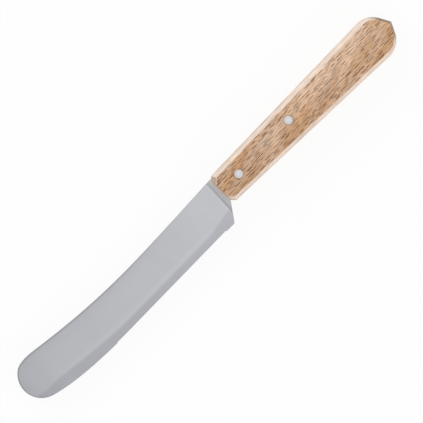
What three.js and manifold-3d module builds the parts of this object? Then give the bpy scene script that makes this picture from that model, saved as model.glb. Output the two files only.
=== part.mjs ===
// Breakfast knife: a round-tipped blade whose half tang is riveted into a slotted wooden handle.
// Millimetres. X runs from tip to butt, Y from cutting edge to spine, Z up through the left face.
// The pieces are drawn with x = 0 at the handle's front, y = 0 at its spine and z = 0 in mid thickness.
// The finished knife lies on its right face, on z = 0, centred over the origin.

import * as THREE from "three";
import { mergeVertices, toCreasedNormals } from "three/addons/utils/BufferGeometryUtils.js";
import Module from "manifold-3d";

// Blade outline
const BLADE_REACH = 118.75;
const TIP_RADIUS = 10.2;
const TIP_FLATTENING = 0.5;
const TIP_ARC_TO_SPINE = THREE.MathUtils.degToRad(121);
const TIP_ARC_TO_EDGE = THREE.MathUtils.degToRad(252);
const CREST_FROM_TIP = 10.65;
const CREST_RISE = 3.6;
const WAIST_FROM_HANDLE = 47.1;
const WAIST_DROP = 1.67;
const CREST_FULLNESS = 0.085;
const WAIST_FULLNESS = 0.57;
const WAIST_REACH_BACK = 15;
const STRAIGHT_EDGE_FROM_TIP = 47.45;
const STRAIGHT_EDGE_DROP = 20.45;
const BELLY_FULLNESS = 13.4;
const HEEL_FROM_HANDLE = 6.05;
const HEEL_DROP = 21.06;
const HEEL_ROUNDING = 0.7;

// Blade thickness and grind
const STRIP_THICKNESS = 1.5;
const RICASSO_LENGTH = 2.9;
const PLUNGE_LENGTH = 0.5;
const GRIND_STEP = 0.05;
const SPINE_TAPER = 0.5;
const SPINE_ROUND = 0.2;
const FACE_SWELL = 0.05;
const BAND_WIDTH = 3.5;
const BAND_THICKNESS = 0.75;
const EDGE_THICKNESS = 0.25;
const TIP_RIM_THICKNESS = 0.7;

// Micro-serrated stretch of the edge, ground from the right face
const SERRATION_FROM_HANDLE = 10.9;
const SERRATION_FROM_TIP = 41.95;
const SERRATION_INSET_AT_TIP_END = 0.15;
const SERRATION_INSET_AT_HEEL_END = 0.3;
const TOOTH_PITCH = 1;
const TOOTH_DEPTH = 0.2;
const SCALLOP_SHARE = 0.3;

// Handle outline
const HANDLE_LENGTH = 101.25;
const HANDLE_THICKNESS = 10.5;
const HANDLE_FRONT_WIDTH = 14.72;
const HANDLE_BUTT_WIDTH = 19.95;
const BUTT_HALF_ANGLE = THREE.MathUtils.degToRad(63);
const BUTT_SHOULDER_RADIUS = 9.7;
const BUTT_APEX_RADIUS = 0.8;
const FRONT_CHAMFER = 1.5;
const CHAMFER_CORNER_RADIUS = 0.8;

// Rounding of the handle's long edges: how far it eats into each face, and the straight wall it leaves
const SPINE_ROUND_WIDTH = 2.5;
const BELLY_ROUND_WIDTH = 1.75;
const BUTT_ROUND_WIDTH = 1.1;
const FRONT_ROUND_WIDTH = 0.1;
const WALL_HEIGHT = 1.7;
const ROUND_SWEEP = THREE.MathUtils.degToRad(55);
const LEAST_CORNER_RADIUS = 0.4;

// Rivets, measured back from the handle's front and down from its spine
const FRONT_RIVET_BACK = 10.1;
const FRONT_RIVET_DROP = 7.9;
const REAR_RIVET_BACK = 40.95;
const REAR_RIVET_DROP = 7.35;
const RIVET_SHANK_RADIUS = 1.5;
const RIVET_HEAD_FLARE = 0.4;
const RIVET_HEAD_DEPTH = 0.6;
const RIVET_CROWN = 0.1;
const RIVET_RECESS = 0.03;
const CROWN_SHOULDER = 0.6;

// Tang, its slot and the clearances
const TANG_SPINE_RECESS = 0.75;
const TANG_BELLY_RECESS = 1.8;
const TANG_PAST_REAR_RIVET = 14;
const TANG_CORNER_RADIUS = 3;
const TANG_CLEARANCE = 0.1;
const SLOT_END_GAP = 0.9;
const SAW_RADIUS = 60;
const RIVET_CLEARANCE = 0.1;
const CUT_PAST = 2;

// Fineness of the curved stretches
const OUTLINE_DIVISIONS = 60;
const TIP_STEPS = 14;
const NOSE_ANGLE = THREE.MathUtils.degToRad(2);
const BELLY_STEPS = 12;
const HEEL_STEPS = 14;
const TANG_CORNER_STEPS = 6;
const CORNER_STEPS = 8;
const ROUND_STEPS = 6;
const LATHE_SEGMENTS = 40;
const LEAST_STATION_STEP = 0.005;
const MERGE_DISTANCE = 1e-4;
const CREASE_ANGLE = THREE.MathUtils.degToRad(25);

const { lerp, clamp } = THREE.MathUtils;
const { Vector2, Vector3 } = THREE;

const wasm = await Module();
wasm.setup();

// A closed three.js geometry as a solid that can be cut.
function toSolid(geometry) {
  const bare = geometry.clone();
  bare.deleteAttribute("normal");
  bare.deleteAttribute("uv");
  const merged = mergeVertices(bare, MERGE_DISTANCE);
  const mesh = new wasm.Mesh({
    numProp: 3,
    vertProperties: merged.attributes.position.array,
    triVerts: new Uint32Array(merged.index.array),
  });
  return new wasm.Manifold(mesh);
}

// A cut solid as a three.js geometry with crisp edges.
function toGeometry(solid) {
  const mesh = solid.getMesh();
  const geometry = new THREE.BufferGeometry();
  geometry.setAttribute("position", new THREE.BufferAttribute(mesh.vertProperties, 3));
  geometry.setIndex(new THREE.BufferAttribute(mesh.triVerts, 1));
  return toCreasedNormals(geometry, CREASE_ANGLE);
}

// Closed skin through a row of rings of equal counts, each counter-clockwise seen from the last ring.
// onPlane gives a ring point's place in the plane of its ring.
function loft(rings, onPlane) {
  const count = rings[0].length;
  const positions = rings.flat().flatMap((point) => point.toArray());
  const triangles = [];
  for (let row = 0; row + 1 < rings.length; row += 1) {
    for (let column = 0; column < count; column += 1) {
      const here = row * count + column;
      const beside = row * count + ((column + 1) % count);
      triangles.push(here, beside, beside + count);
      triangles.push(here, beside + count, here + count);
    }
  }
  const lastRow = (rings.length - 1) * count;
  const firstCap = THREE.ShapeUtils.triangulateShape(rings[0].map(onPlane), []);
  const lastCap = THREE.ShapeUtils.triangulateShape(rings.at(-1).map(onPlane), []);
  firstCap.forEach(([a, b, c]) => triangles.push(a, c, b));
  lastCap.forEach(([a, b, c]) => triangles.push(lastRow + a, lastRow + b, lastRow + c));
  const geometry = new THREE.BufferGeometry();
  geometry.setAttribute("position", new THREE.Float32BufferAttribute(positions, 3));
  geometry.setIndex(triangles);
  return geometry;
}

// Even steps from one value to another, both ends included.
function spread(from, to, steps) {
  return Array.from({ length: steps + 1 }, (_, step) => lerp(from, to, step / steps));
}

// Height of an outline at x; its points run in the direction of +X.
function heightAt(outline, x) {
  const after = outline.findIndex((point) => point.x >= x);
  if (after < 0) return outline.at(-1).y;
  if (after === 0) return outline[0].y;
  const [low, high] = [outline[after - 1], outline[after]];
  return lerp(low.y, high.y, (x - low.x) / (high.x - low.x));
}

// Places that several pieces share
const buttSetBack = HANDLE_BUTT_WIDTH / 2 / Math.tan(BUTT_HALF_ANGLE);
const apex = new Vector2(HANDLE_LENGTH, -HANDLE_BUTT_WIDTH / 2);
const spineButt = new Vector2(HANDLE_LENGTH - buttSetBack, 0);
const bellyButt = new Vector2(HANDLE_LENGTH - buttSetBack, -HANDLE_BUTT_WIDTH);
const bellyAt = (x) => lerp(-HANDLE_FRONT_WIDTH, -HANDLE_BUTT_WIDTH, x / bellyButt.x);
const tangEnd = REAR_RIVET_BACK + TANG_PAST_REAR_RIVET;
const tangLowAt = (x) => bellyAt(x) + TANG_BELLY_RECESS;
const rivetHeadRadius = RIVET_SHANK_RADIUS + RIVET_HEAD_FLARE;
const rivetPlaces = {
  front_rivet: new Vector2(FRONT_RIVET_BACK, -FRONT_RIVET_DROP),
  rear_rivet: new Vector2(REAR_RIVET_BACK, -REAR_RIVET_DROP),
};

// Blade outline, as a spine line and an edge line that both run from the tip to the end of the tang
const tipCentre = new Vector2(TIP_RADIUS - BLADE_REACH, CREST_RISE + TIP_FLATTENING - TIP_RADIUS);

function onTipArc(angle) {
  return new Vector2(Math.cos(angle), Math.sin(angle)).multiplyScalar(TIP_RADIUS).add(tipCentre);
}

function spineOutline() {
  const crest = new Vector2(CREST_FROM_TIP - BLADE_REACH, CREST_RISE);
  const waist = new Vector2(-WAIST_FROM_HANDLE, -WAIST_DROP);
  const crestToWaist = waist.x - crest.x;
  const leave = onTipArc(TIP_ARC_TO_SPINE);
  const leaveToCrest = (crest.y - leave.y) * -Math.tan(TIP_ARC_TO_SPINE);
  const path = new THREE.Path();
  path.absarc(tipCentre.x, tipCentre.y, TIP_RADIUS, Math.PI, TIP_ARC_TO_SPINE, true);
  path.quadraticCurveTo(leave.x + leaveToCrest, crest.y, crest.x, crest.y);
  path.bezierCurveTo(
    crest.x + CREST_FULLNESS * crestToWaist, crest.y,
    waist.x - WAIST_FULLNESS * crestToWaist, waist.y,
    waist.x, waist.y,
  );
  path.quadraticCurveTo(waist.x + WAIST_REACH_BACK, waist.y, 0, -TANG_SPINE_RECESS);
  path.lineTo(tangEnd - TANG_CORNER_RADIUS, -TANG_SPINE_RECESS);
  path.quadraticCurveTo(tangEnd, -TANG_SPINE_RECESS, tangEnd, -TANG_SPINE_RECESS - TANG_CORNER_RADIUS);
  return path.getPoints(OUTLINE_DIVISIONS);
}

function edgeOutline() {
  const control = onTipArc(TIP_ARC_TO_EDGE);
  control.x -= BELLY_FULLNESS * Math.sin(TIP_ARC_TO_EDGE);
  control.y += BELLY_FULLNESS * Math.cos(TIP_ARC_TO_EDGE);
  const straight = new Vector2(STRAIGHT_EDGE_FROM_TIP - BLADE_REACH, -STRAIGHT_EDGE_DROP);
  const heel = new Vector2(-HEEL_FROM_HANDLE, -HEEL_DROP);
  const front = new Vector2(0, tangLowAt(0));
  const beforeHeel = straight.clone().sub(heel).setLength(HEEL_ROUNDING).add(heel);
  const afterHeel = front.clone().sub(heel).setLength(HEEL_ROUNDING).add(heel);
  const tangLow = tangLowAt(tangEnd);
  const path = new THREE.Path();
  path.absarc(tipCentre.x, tipCentre.y, TIP_RADIUS, Math.PI, TIP_ARC_TO_EDGE, false);
  path.quadraticCurveTo(control.x, control.y, straight.x, straight.y);
  path.lineTo(beforeHeel.x, beforeHeel.y);
  path.quadraticCurveTo(heel.x, heel.y, afterHeel.x, afterHeel.y);
  path.lineTo(front.x, front.y);
  path.lineTo(tangEnd - TANG_CORNER_RADIUS, tangLowAt(tangEnd - TANG_CORNER_RADIUS));
  path.quadraticCurveTo(tangEnd, tangLow, tangEnd, tangLow + TANG_CORNER_RADIUS);
  return path.getPoints(OUTLINE_DIVISIONS);
}

// How far the teeth set the edge back at x: nothing outside the serrated stretch.
const serrationStart = SERRATION_FROM_TIP - BLADE_REACH;
const serrationLength = -SERRATION_FROM_HANDLE - serrationStart;
const toothCount = Math.round(serrationLength / TOOTH_PITCH);
const toothPitch = serrationLength / toothCount;

function toothInset(x) {
  const along = (x - serrationStart) / toothPitch;
  if (along <= 0 || along >= toothCount) return 0;
  const fromTooth = Math.abs(along - Math.round(along));
  const inset = lerp(SERRATION_INSET_AT_TIP_END, SERRATION_INSET_AT_HEEL_END, along / toothCount);
  return inset + TOOTH_DEPTH * fromTooth * 2;
}

// Stations along the blade where a cross-section is taken.
function bladeStations() {
  const plungeFront = -RICASSO_LENGTH - PLUNGE_LENGTH;
  const tipAngles = spread(Math.PI - NOSE_ANGLE, Math.PI / 2, TIP_STEPS);
  const tip = tipAngles.map((angle) => onTipArc(angle).x);
  const belly = spread(tipCentre.x, serrationStart, BELLY_STEPS);
  const teeth = spread(serrationStart, -SERRATION_FROM_HANDLE, toothCount * 2);
  const heel = spread(-SERRATION_FROM_HANDLE, plungeFront, HEEL_STEPS);
  const tangCorner = spread(tangEnd - TANG_CORNER_RADIUS, tangEnd, TANG_CORNER_STEPS);
  const all = [...tip, ...belly, ...teeth, ...heel, -RICASSO_LENGTH, 0, ...tangCorner];
  all.sort((a, b) => a - b);
  return all.filter((x, index) => index === 0 || x - all[index - 1] > LEAST_STATION_STEP);
}

// Cross-section of the blade at x, counter-clockwise seen from the handle.
function bladeSection(x, spineLine, edgeLine, bandShare) {
  const spine = heightAt(spineLine, x);
  const edge = heightAt(edgeLine, x);
  const ground = clamp((-RICASSO_LENGTH - x) / PLUNGE_LENGTH, 0, 1);
  const towardsTip = clamp(-x / BLADE_REACH, 0, 1);
  const awayFromTip = clamp((x + BLADE_REACH) / TIP_RADIUS, 0, 1);
  const taperedSpine = STRIP_THICKNESS - 2 * GRIND_STEP - SPINE_TAPER * towardsTip;
  const spineHalf = lerp(STRIP_THICKNESS, taperedSpine, ground) / 2;
  const bandHalf = lerp(STRIP_THICKNESS, BAND_THICKNESS, ground) / 2;
  const sharpness = lerp(TIP_RIM_THICKNESS, EDGE_THICKNESS, awayFromTip);
  const edgeThickness = lerp(STRIP_THICKNESS, sharpness, ground);
  const band = lerp(edge, spine, bandShare);
  const faceHalfAt = (y) => lerp(edgeThickness / 2, bandHalf, (y - edge) / (band - edge));
  const inset = toothInset(x);
  const cutEdge = edge + inset;
  const cutTop = faceHalfAt(cutEdge);
  const scallop = lerp(cutEdge, band, SCALLOP_SHARE);
  const middle = (spine + band) / 2;
  const middleHalf = (spineHalf + bandHalf) / 2 + FACE_SWELL * ground;
  return [
    new Vector3(x, spine, SPINE_ROUND - spineHalf),
    new Vector3(x, spine, spineHalf - SPINE_ROUND),
    new Vector3(x, spine - SPINE_ROUND, spineHalf),
    new Vector3(x, middle, middleHalf),
    new Vector3(x, band, bandHalf),
    new Vector3(x, cutEdge, cutTop),
    new Vector3(x, cutEdge, cutTop - edgeThickness),
    new Vector3(x, scallop, -faceHalfAt(scallop)),
    new Vector3(x, band, -bandHalf),
    new Vector3(x, middle, -middleHalf),
    new Vector3(x, spine - SPINE_ROUND, -spineHalf),
  ];
}

function makeBlade() {
  const spineLine = spineOutline();
  const edgeLine = edgeOutline();
  const waistWidth = STRAIGHT_EDGE_DROP - WAIST_DROP;
  const bandShare = BAND_WIDTH / waistWidth;
  const sections = bladeStations().map((x) => bladeSection(x, spineLine, edgeLine, bandShare));
  const blank = toSolid(loft(sections, (point) => new Vector2(point.y, point.z)));
  const holes = Object.values(rivetPlaces).map((place) => {
    const drill = new THREE.CylinderGeometry(
      RIVET_SHANK_RADIUS + RIVET_CLEARANCE,
      RIVET_SHANK_RADIUS + RIVET_CLEARANCE,
      STRIP_THICKNESS + CUT_PAST,
      LATHE_SEGMENTS,
    );
    return toSolid(drill.rotateX(Math.PI / 2).translate(place.x, place.y, 0));
  });
  return toGeometry(holes.reduce((solid, hole) => solid.subtract(hole), blank));
}

// Handle outline: corners in counter-clockwise order, each with its radius and with the rounding
// that is cut along the side that starts there.
const chamferRadius = CHAMFER_CORNER_RADIUS;
const bellyChamfer = new Vector2(FRONT_CHAMFER, bellyAt(FRONT_CHAMFER));
const frontBelly = new Vector2(0, FRONT_CHAMFER - HANDLE_FRONT_WIDTH);
const handleCorners = [
  { at: bellyChamfer, radius: chamferRadius, round: BELLY_ROUND_WIDTH },
  { at: bellyButt, radius: BUTT_SHOULDER_RADIUS, round: BUTT_ROUND_WIDTH },
  { at: apex, radius: BUTT_APEX_RADIUS, round: BUTT_ROUND_WIDTH },
  { at: spineButt, radius: BUTT_SHOULDER_RADIUS, round: SPINE_ROUND_WIDTH },
  { at: new Vector2(FRONT_CHAMFER, 0), radius: chamferRadius, round: SPINE_ROUND_WIDTH },
  { at: new Vector2(0, -FRONT_CHAMFER), radius: chamferRadius, round: FRONT_ROUND_WIDTH },
  { at: frontBelly, radius: chamferRadius, round: BELLY_ROUND_WIDTH },
];

// The line of a side after its rounding has moved it inwards.
function movedSide(index, share) {
  const start = handleCorners[index].at;
  const end = handleCorners[(index + 1) % handleCorners.length].at;
  const along = end.clone().sub(start).normalize();
  const inwards = new Vector2(-along.y, along.x);
  return { point: start.clone().addScaledVector(inwards, handleCorners[index].round * share), along };
}

function crossing(first, second) {
  const apart = second.point.clone().sub(first.point);
  const distance = apart.cross(second.along) / first.along.cross(second.along);
  return first.point.clone().addScaledVector(first.along, distance);
}

// Points of the arc that rounds a corner between two directions of travel.
function filletPoints(corner, before, after, radius) {
  const turn = Math.acos(clamp(before.dot(after), -1, 1));
  const tangent = radius * Math.tan(turn / 2);
  const start = corner.clone().addScaledVector(before, -tangent);
  const inwards = new Vector2(-before.y, before.x);
  const centre = start.clone().addScaledVector(inwards, radius);
  const startAngle = start.clone().sub(centre).angle();
  return spread(startAngle, startAngle + turn, CORNER_STEPS).map(
    (angle) => new Vector2(Math.cos(angle), Math.sin(angle)).multiplyScalar(radius).add(centre),
  );
}

// The handle's outline at one height; share is 0 at the straight wall and 1 at the flat faces.
function handleOutline(share) {
  const count = handleCorners.length;
  return handleCorners.flatMap((corner, index) => {
    const arriving = movedSide((index + count - 1) % count, share);
    const leaving = movedSide(index, share);
    const meanRound = (corner.round + handleCorners[(index + count - 1) % count].round) / 2;
    const radius = Math.max(LEAST_CORNER_RADIUS, corner.radius - meanRound * share);
    return filletPoints(crossing(arriving, leaving), arriving.along, leaving.along, radius);
  });
}

function handleBlank() {
  const roundDepth = (HANDLE_THICKNESS - WALL_HEIGHT) / 2;
  const upper = spread(0, ROUND_SWEEP, ROUND_STEPS).map((sweep) => {
    const share = (1 - Math.cos(sweep)) / (1 - Math.cos(ROUND_SWEEP));
    const height = WALL_HEIGHT / 2 + (roundDepth * Math.sin(sweep)) / Math.sin(ROUND_SWEEP);
    return { share, height };
  });
  const lower = upper.map(({ share, height }) => ({ share, height: -height })).reverse();
  const rings = [...lower, ...upper].map(({ share, height }) =>
    handleOutline(share).map((point) => new Vector3(point.x, point.y, height)),
  );
  return toSolid(loft(rings, (point) => new Vector2(point.x, point.y)));
}

// Saw slot for the tang, open at the front, the spine and the belly, with the saw's arc at its end.
function slotCutter() {
  const depth = tangEnd + SLOT_END_GAP;
  const middle = -HANDLE_BUTT_WIDTH / 2;
  const reach = HANDLE_BUTT_WIDTH / 2 + CUT_PAST;
  const halfSweep = Math.asin(reach / SAW_RADIUS);
  const shape = new THREE.Shape();
  shape.moveTo(-CUT_PAST, middle + reach);
  shape.lineTo(-CUT_PAST, middle - reach);
  shape.absarc(depth - SAW_RADIUS, middle, SAW_RADIUS, -halfSweep, halfSweep, false);
  const width = STRIP_THICKNESS + 2 * TANG_CLEARANCE;
  const settings = { depth: width, bevelEnabled: false, curveSegments: CORNER_STEPS };
  const cutter = new THREE.ExtrudeGeometry(shape, settings);
  return toSolid(cutter.translate(0, 0, -width / 2));
}

// Half outline of a rivet from its middle to its end face, as radius and height.
function rivetHalf(grow, end) {
  const headFoot = HANDLE_THICKNESS / 2 - RIVET_RECESS - RIVET_HEAD_DEPTH - grow;
  const coneFoot = headFoot - RIVET_HEAD_FLARE;
  return [
    new Vector2(RIVET_SHANK_RADIUS + grow, coneFoot),
    new Vector2(rivetHeadRadius + grow, headFoot),
    ...end,
  ];
}

// A rivet turned about its axis, which is set along Z.
function turnedRivet(half) {
  const lower = half.map((point) => new Vector2(point.x, -point.y)).reverse();
  return new THREE.LatheGeometry([...lower, ...half], LATHE_SEGMENTS).rotateX(Math.PI / 2);
}

function rivetBore(place) {
  const mouth = HANDLE_THICKNESS / 2 + CUT_PAST;
  const end = [new Vector2(rivetHeadRadius + RIVET_CLEARANCE, mouth), new Vector2(0, mouth)];
  return toSolid(turnedRivet(rivetHalf(RIVET_CLEARANCE, end)).translate(place.x, place.y, 0));
}

function makeRivet(place) {
  const top = HANDLE_THICKNESS / 2 - RIVET_RECESS;
  const end = [
    new Vector2(rivetHeadRadius, top - RIVET_CROWN),
    new Vector2(rivetHeadRadius * CROWN_SHOULDER, top - RIVET_CROWN * (1 - CROWN_SHOULDER)),
    new Vector2(0, top),
  ];
  const solid = toSolid(turnedRivet(rivetHalf(0, end)).translate(place.x, place.y, 0));
  return toGeometry(solid);
}

function makeHandle() {
  const slotted = handleBlank().subtract(slotCutter());
  const bores = Object.values(rivetPlaces).map(rivetBore);
  return toGeometry(bores.reduce((solid, bore) => solid.subtract(bore), slotted));
}

// Finishes
const steel = new THREE.MeshStandardMaterial({ color: "#b9babf", roughness: 0.4, metalness: 1 });
const beech = new THREE.MeshStandardMaterial({ color: "#be9e82", roughness: 0.65, metalness: 0 });
const aluminium = new THREE.MeshStandardMaterial({ color: "#d4d8e0", roughness: 0.35, metalness: 1 });

const knife = new THREE.Group();
knife.name = "knife";

function addPiece(name, geometry, material) {
  const piece = new THREE.Mesh(geometry, material);
  piece.name = name;
  knife.add(piece);
}

addPiece("blade", makeBlade(), steel);
addPiece("handle", makeHandle(), beech);
Object.entries(rivetPlaces).forEach(([name, place]) => addPiece(name, makeRivet(place), aluminium));

// Lay the knife on its right face, centred over the origin.
const box = new THREE.Box3().setFromObject(knife);
const centre = box.getCenter(new Vector3());
knife.position.set(-centre.x, -centre.y, -box.min.z);

const breakfastKnife = new THREE.Group();
breakfastKnife.name = "breakfast_knife";
breakfastKnife.add(knife);

export default breakfastKnife;
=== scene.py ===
# Breakfast knife dressed for looks: a satin-ground steel blade, a flecked beech handle and two flush rivets.
# Sizes are in millimetres as the knife is drawn: x = 0 at the handle's front and growing to the butt,
# y = 0 at the handle's spine, z = 0 in mid thickness. Every mesh is moved into the frame, in metres.
# A pair of numbers that says where something comes and goes has its start first and its end second.

import math

import bmesh
import bpy
import numpy as np
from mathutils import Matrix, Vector


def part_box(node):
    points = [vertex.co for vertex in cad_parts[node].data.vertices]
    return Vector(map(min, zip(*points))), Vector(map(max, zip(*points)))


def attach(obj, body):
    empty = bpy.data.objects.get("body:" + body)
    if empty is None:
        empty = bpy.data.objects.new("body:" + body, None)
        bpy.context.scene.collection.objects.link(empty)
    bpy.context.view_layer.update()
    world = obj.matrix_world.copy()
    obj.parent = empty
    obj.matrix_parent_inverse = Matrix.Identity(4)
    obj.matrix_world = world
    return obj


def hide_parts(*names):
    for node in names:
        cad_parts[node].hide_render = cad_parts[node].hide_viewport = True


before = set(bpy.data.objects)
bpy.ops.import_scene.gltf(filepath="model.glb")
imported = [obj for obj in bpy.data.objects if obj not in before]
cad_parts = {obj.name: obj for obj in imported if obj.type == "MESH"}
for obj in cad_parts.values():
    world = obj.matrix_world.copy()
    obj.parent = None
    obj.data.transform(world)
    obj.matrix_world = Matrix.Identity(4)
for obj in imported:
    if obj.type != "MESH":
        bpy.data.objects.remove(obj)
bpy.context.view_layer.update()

MM = 0.001
HANDLE_LOW, HANDLE_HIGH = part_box("handle")
HOME = Vector((HANDLE_LOW.x, HANDLE_HIGH.y, (HANDLE_LOW.z + HANDLE_HIGH.z) / 2))

# Blade outline
BLADE_REACH = 118.75
TIP_RADIUS = 10.2
TIP_FLATTENING = 0.5
TIP_ARC_TO_SPINE = math.radians(121)
TIP_ARC_TO_EDGE = math.radians(252)
CREST_FROM_TIP = 10.65
CREST_RISE = 3.6
WAIST_FROM_HANDLE = 47.1
WAIST_DROP = 1.67
CREST_FULLNESS = 0.085
WAIST_FULLNESS = 0.57
WAIST_REACH_BACK = 15
STRAIGHT_EDGE_FROM_TIP = 47.45
STRAIGHT_EDGE_DROP = 20.45
BELLY_FULLNESS = 13.4
HEEL_FROM_HANDLE = 6.05
HEEL_DROP = 21.06
HEEL_ROUNDING = 0.7

# Blade thickness and grind
STRIP_HALF = 0.75
SPINE_HALF = 0.7
SPINE_HALF_AT_TIP = 0.45
BAND_HALF = 0.375
EDGE_HALF = 0.125
NOSE_HALF = 0.35
HOLLOW = 0.03
FACE_WIDTH = 14.5
BAND_WIDTH = 3.5
BAND_WIDENING = 1.4
BAND_WIDENS = (-62, -98)
BAND_HEEL_WIDENING = 2.1
BAND_HEEL_WIDENS = (-19, -2)
BAND_ENDS_AT = -117.7
BAND_TAPER_LENGTH = 17.7
BAND_TAPER_POWER = 2.4
LEAST_BAND = 0.05
BAND_BLEND = 0.012
RIM_ROUND = 0.2
RIM_SHARE = 0.6
LEAST_RADIUS = 1e-6
PLUNGE_TOP = (-2.54, -2.0)
PLUNGE_SLANT = 0.059
PLUNGE_RAMP = (-0.05, 1.0)
WHEEL_DIP = 0.025
WHEEL_DIP_AT = -0.05
WHEEL_DIP_WIDTH = 0.35

# Marks on the blade, among them painted highlights, painted shade and a painted reflection: how strong each
# one is, how wide, and where along the blade it comes and goes
BAND_SOFTNESS = 0.7
BAND_SOFTNESS_AT_TIP = 0.45
BAND_SHARPENS = (-98, -112)
BAND_FADES_UNDER = 1.4
BAND_TONE_NEAR_HANDLE = 0.8
BAND_DARKENS = (-28, -58)
# Painted highlights on the steel: above the band, beside the plunge and near the handle
CREST_HIGHLIGHT = 0.45
CREST_HIGHLIGHT_ABOVE_BAND = 1.2
CREST_HIGHLIGHT_WIDTH = 1.0
CREST_FADES = (-94, -110)
PLUNGE_HIGHLIGHT_AT = -0.6
PLUNGE_HIGHLIGHT_WIDTH = 0.32
HANDLE_SIDE_HIGHLIGHT = 0.38
HANDLE_SIDE_HIGHLIGHT_RISES = (-28, -8)
WHEEL_SHADE = 0.06
WHEEL_SHADE_AT = 0.5
WHEEL_SHADE_WIDTH = 0.35
RIM_SHADE_WIDTH = 0.8
RIM_SHADE_NEAR_HANDLE = 0.05
RIM_SHADE_AT_TIP = 0.42
RIM_SHADE_AT_NOSE = 0.3
RIM_DARKENS = (-18, -72)
SPINE_SHADE = 0.045
SPINE_SHADE_WIDTH = 7
SPINE_SHADES = (-15, -55)
TIP_SHADE = 0.045
TIP_SHADES = (-101, -113)
NOSE_SHADE = 0.02
NOSE_SHADE_WIDTH = 7
# Painted reflection of the beech handle on the steel next to it
WOOD_REFLECTION_SHARE = 0.42
WOOD_REFLECTION_REACH = (-1.4, 0)

# Micro-serrated stretch of the edge, ground from the right face
SERRATION_FROM_HANDLE = 10.9
SERRATION_FROM_TIP = 41.95
SERRATION_START = SERRATION_FROM_TIP - BLADE_REACH
SERRATION_INSET_AT_TIP_END = 0.15
SERRATION_INSET_AT_HEEL_END = 0.3
TOOTH_COUNT = 66
TOOTH_DEPTH = 0.2
TOOTH_SCOOP = 0.13
TOOTH_REACH_LEFT = 0.7
TOOTH_REACH_RIGHT = 1.4

# Handle outline
HANDLE_LENGTH = 101.25
HANDLE_HALF = 5.25
HANDLE_FRONT_WIDTH = 14.72
HANDLE_BUTT_WIDTH = 19.95
BUTT_HALF_ANGLE = math.radians(63)
BUTT_SET_BACK = HANDLE_BUTT_WIDTH / 2 / math.tan(BUTT_HALF_ANGLE)
BUTT_SHOULDER_RADIUS = 9.7
BUTT_APEX_RADIUS = 0.8
FRONT_CHAMFER = 1.5
CHAMFER_CORNER_RADIUS = 0.8
LEAST_CORNER_RADIUS = 0.4

# Rounding of the handle's long edges: how far it eats into each face, and the straight wall it leaves
SPINE_ROUND_WIDTH = 2.5
BELLY_ROUND_WIDTH = 1.75
BUTT_ROUND_WIDTH = 1.1
FRONT_ROUND_WIDTH = 0.1
WALL_HALF = 0.85
ROUND_SWEEP = math.radians(55)
BREAK_SWEEP = math.radians(52)
BREAK_SHARE = 1.06
SUPPORT_SHARE = 1.1

# Rivets, tang, slot and bores
RIVET_PLACES = ((10.1, -7.9), (40.95, -7.35))
SHANK_RADIUS = 1.5
HEAD_FLARE = 0.4
HEAD_DEPTH = 0.6
RIVET_CROWN = 0.1
RIVET_RECESS = 0.03
BORE_CLEARANCE = 0.09
TANG_SPINE_RECESS = 0.75
TANG_BELLY_RECESS = 1.8
TANG_END = 54.95
TANG_CORNER_RADIUS = 3
SLOT_HALF = 0.85
SLOT_END = 55.85
SAW_RADIUS = 60
CUT_PAST = 2

# Fineness of the meshes
CURVE_STEPS = 40
CORNER_STEPS = 14
ROUND_STEPS = 14
BREAK_STEPS = 4
BORE_SEGMENTS = 64
CREASE_ANGLE = math.radians(28)


# Lines in the drawing plane

def point(x, y):
    return np.array((x, y), float)


def arc(centre, radius, start, end, steps=CURVE_STEPS):
    angles = np.linspace(start, end, steps + 1)
    return centre + radius * np.stack((np.cos(angles), np.sin(angles)), axis=1)


def quadratic(start, control, end, steps=CURVE_STEPS):
    t = np.linspace(0, 1, steps + 1)[:, None]
    return (1 - t) ** 2 * start + 2 * t * (1 - t) * control + t ** 2 * end


def cubic(start, first, second, end, steps=CURVE_STEPS):
    t = np.linspace(0, 1, steps + 1)[:, None]
    far = 1 - t
    return far ** 3 * start + 3 * far ** 2 * t * first + 3 * far * t ** 2 * second + t ** 3 * end


def joined(*runs):
    """One line through several runs, without the first place of each later run."""
    return np.vstack((runs[0], *(run[1:] for run in runs[1:])))


def unit(vector):
    return vector / np.linalg.norm(vector)


def turned(vector):
    """The vector after a quarter turn to the left."""
    return point(-vector[1], vector[0])


def cross(first, second):
    return first[0] * second[1] - first[1] * second[0]


def height_at(line, x):
    return np.interp(x, line[:, 0], line[:, 1])


def slope_at(line, x):
    return np.interp(x, line[:, 0], np.gradient(line[:, 1], line[:, 0]))


def distance_to(line, places):
    nearest = np.full(places.shape[:-1], np.inf)
    for start, end in zip(line[:-1], line[1:]):
        run = end - start
        along = np.clip((places - start) @ run / (run @ run), 0, 1)
        foot = start + along[..., None] * run
        nearest = np.minimum(nearest, np.linalg.norm(places - foot, axis=-1))
    return nearest


# Values along a line

def between(start, end, share):
    return start + (end - start) * share


def soft_step(value, start, end):
    t = np.clip((value - start) / (end - start), 0, 1)
    return t * t * (3 - 2 * t)


def fading(distance, reach):
    """1 on a line, falling softly to 0 at this distance from it."""
    return 1 - soft_step(distance, 0, reach)


def bell(value, middle, width):
    """1 in the middle, falling away on both sides."""
    return np.exp(-((value - middle) / width) ** 2)


def bowed(share):
    """0 at both ends and 1 half way."""
    return 4 * share * (1 - share)


# Meshes

def new_piece(name, places, faces):
    """A mesh object from places in drawing millimetres."""
    mesh = bpy.data.meshes.new(name)
    in_frame = np.asarray(places) * MM + np.array(HOME)
    mesh.from_pydata(in_frame.tolist(), [], faces)
    piece = bpy.data.objects.new(name, mesh)
    bpy.context.scene.collection.objects.link(piece)
    return piece


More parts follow.
